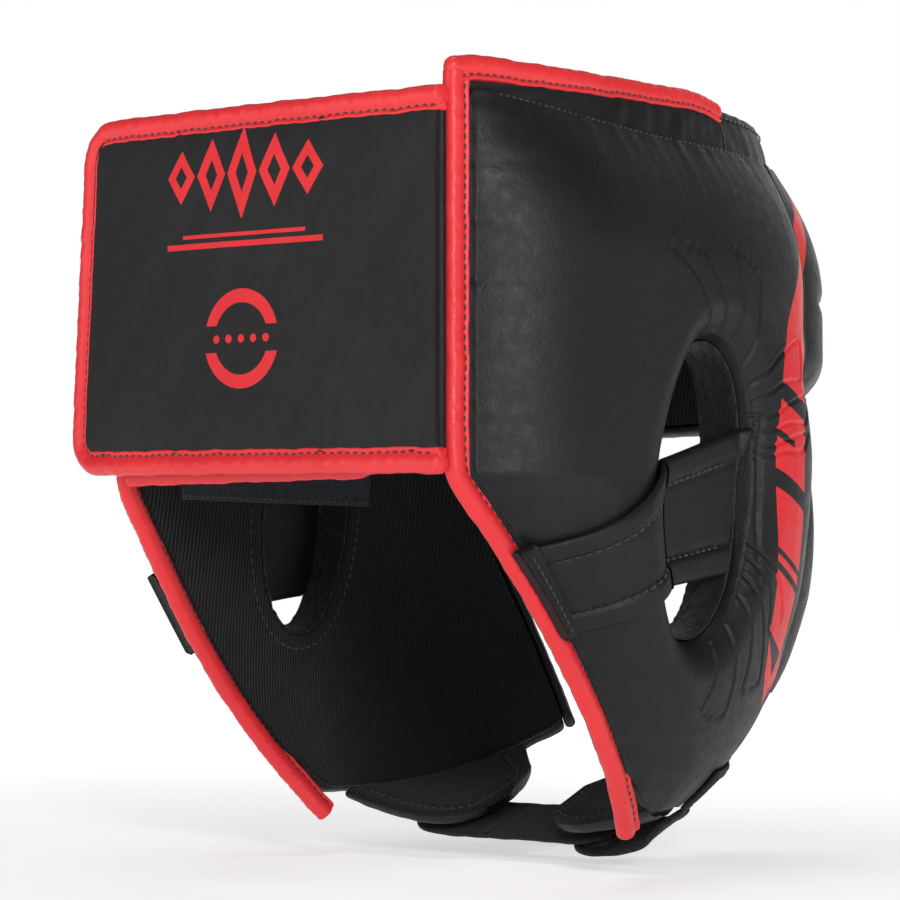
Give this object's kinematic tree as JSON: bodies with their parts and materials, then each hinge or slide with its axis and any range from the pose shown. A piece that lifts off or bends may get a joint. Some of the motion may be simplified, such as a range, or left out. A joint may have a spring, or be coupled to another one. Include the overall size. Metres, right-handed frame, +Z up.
{
  "type": "boxing headgear",
  "caption": "Open-crown boxing headgear: thick padded side panels and forehead, ear openings with guards, chin pads, a hook-and-loop rear closure flap and a chin strap.",
  "frame": {"origin": "midway between the centres of the two ear openings, on the wearer's ear axis", "axes": "+Z up through the crown, -Y out through the face, +X to the wearer's left"},
  "size_m": [0.2027, 0.2356, 0.2509],
  "materials": {
    "black_cover": "matte synthetic leather",
    "red_binding": "satin synthetic leather",
    "mesh_lining": "fine ribbed mesh",
    "fleece": "short pile",
    "foam": "closed-cell foam",
    "webbing": "close weave",
    "hook_tape": "rough hooks",
    "loop_tape": "soft loops"
  },
  "bodies": {
    "shell": {"right_side_cover": "black_cover", "left_side_cover": "black_cover", "forehead_cover": "black_cover", "right_side_foam": "foam", "left_side_foam": "foam", "forehead_foam": "foam", "right_side_lining": "mesh_lining", "left_side_lining": "mesh_lining", "forehead_lining": "mesh_lining", "right_crown_band": "black_cover", "left_crown_band": "black_cover", "forehead_crown_margin": "black_cover", "right_rear_binding": "red_binding", "left_rear_binding": "red_binding", "right_crown_binding": "red_binding", "left_crown_binding": "red_binding", "face_opening_welt": "black_cover", "right_ear_wall": "fleece", "left_ear_wall": "fleece", "right_ear_strap": "black_cover", "left_ear_strap": "black_cover", "right_ear_guard": "black_cover", "left_ear_guard": "black_cover", "right_strap_end": "black_cover", "left_strap_end": "black_cover", "right_chin_cover": "black_cover", "left_chin_cover": "black_cover", "right_chin_foam": "foam", "left_chin_foam": "foam", "right_chin_lining": "mesh_lining", "left_chin_lining": "mesh_lining", "right_chin_anchor": "webbing", "left_chin_anchor": "webbing", "loop_strap": "webbing", "loop_strap_patch": "loop_tape"},
    "flap": {"flap_cover": "black_cover", "flap_foam": "foam", "flap_lining": "mesh_lining", "flap_hook_patch": "hook_tape", "flap_binding": "red_binding"},
    "tongue": {"tongue_cover": "black_cover", "tongue_loop_patch": "loop_tape", "tongue_binding": "red_binding"},
    "hook_strap": {"hook_strap": "webbing", "hook_strap_patch": "hook_tape"}
  },
  "joints": [
    {"name": "flap_hinge", "type": "hinge", "parent": "shell", "child": "flap", "pos_m": [-0.0679, 0.1038, 0], "axis": [0, 0, 1], "range_deg": [0, 125]},
    {"name": "tongue_hinge", "type": "hinge", "parent": "shell", "child": "tongue", "pos_m": [0.0629, 0.1004, 0], "axis": [0, 0, 1], "range_deg": [0, 40]},
    {"name": "hook_strap_hinge", "type": "hinge", "parent": "shell", "child": "hook_strap", "pos_m": [-0.0567, -0.0322, -0.1054], "axis": [0, 0.927, -0.375], "range_deg": [0, 100]}
  ]
}
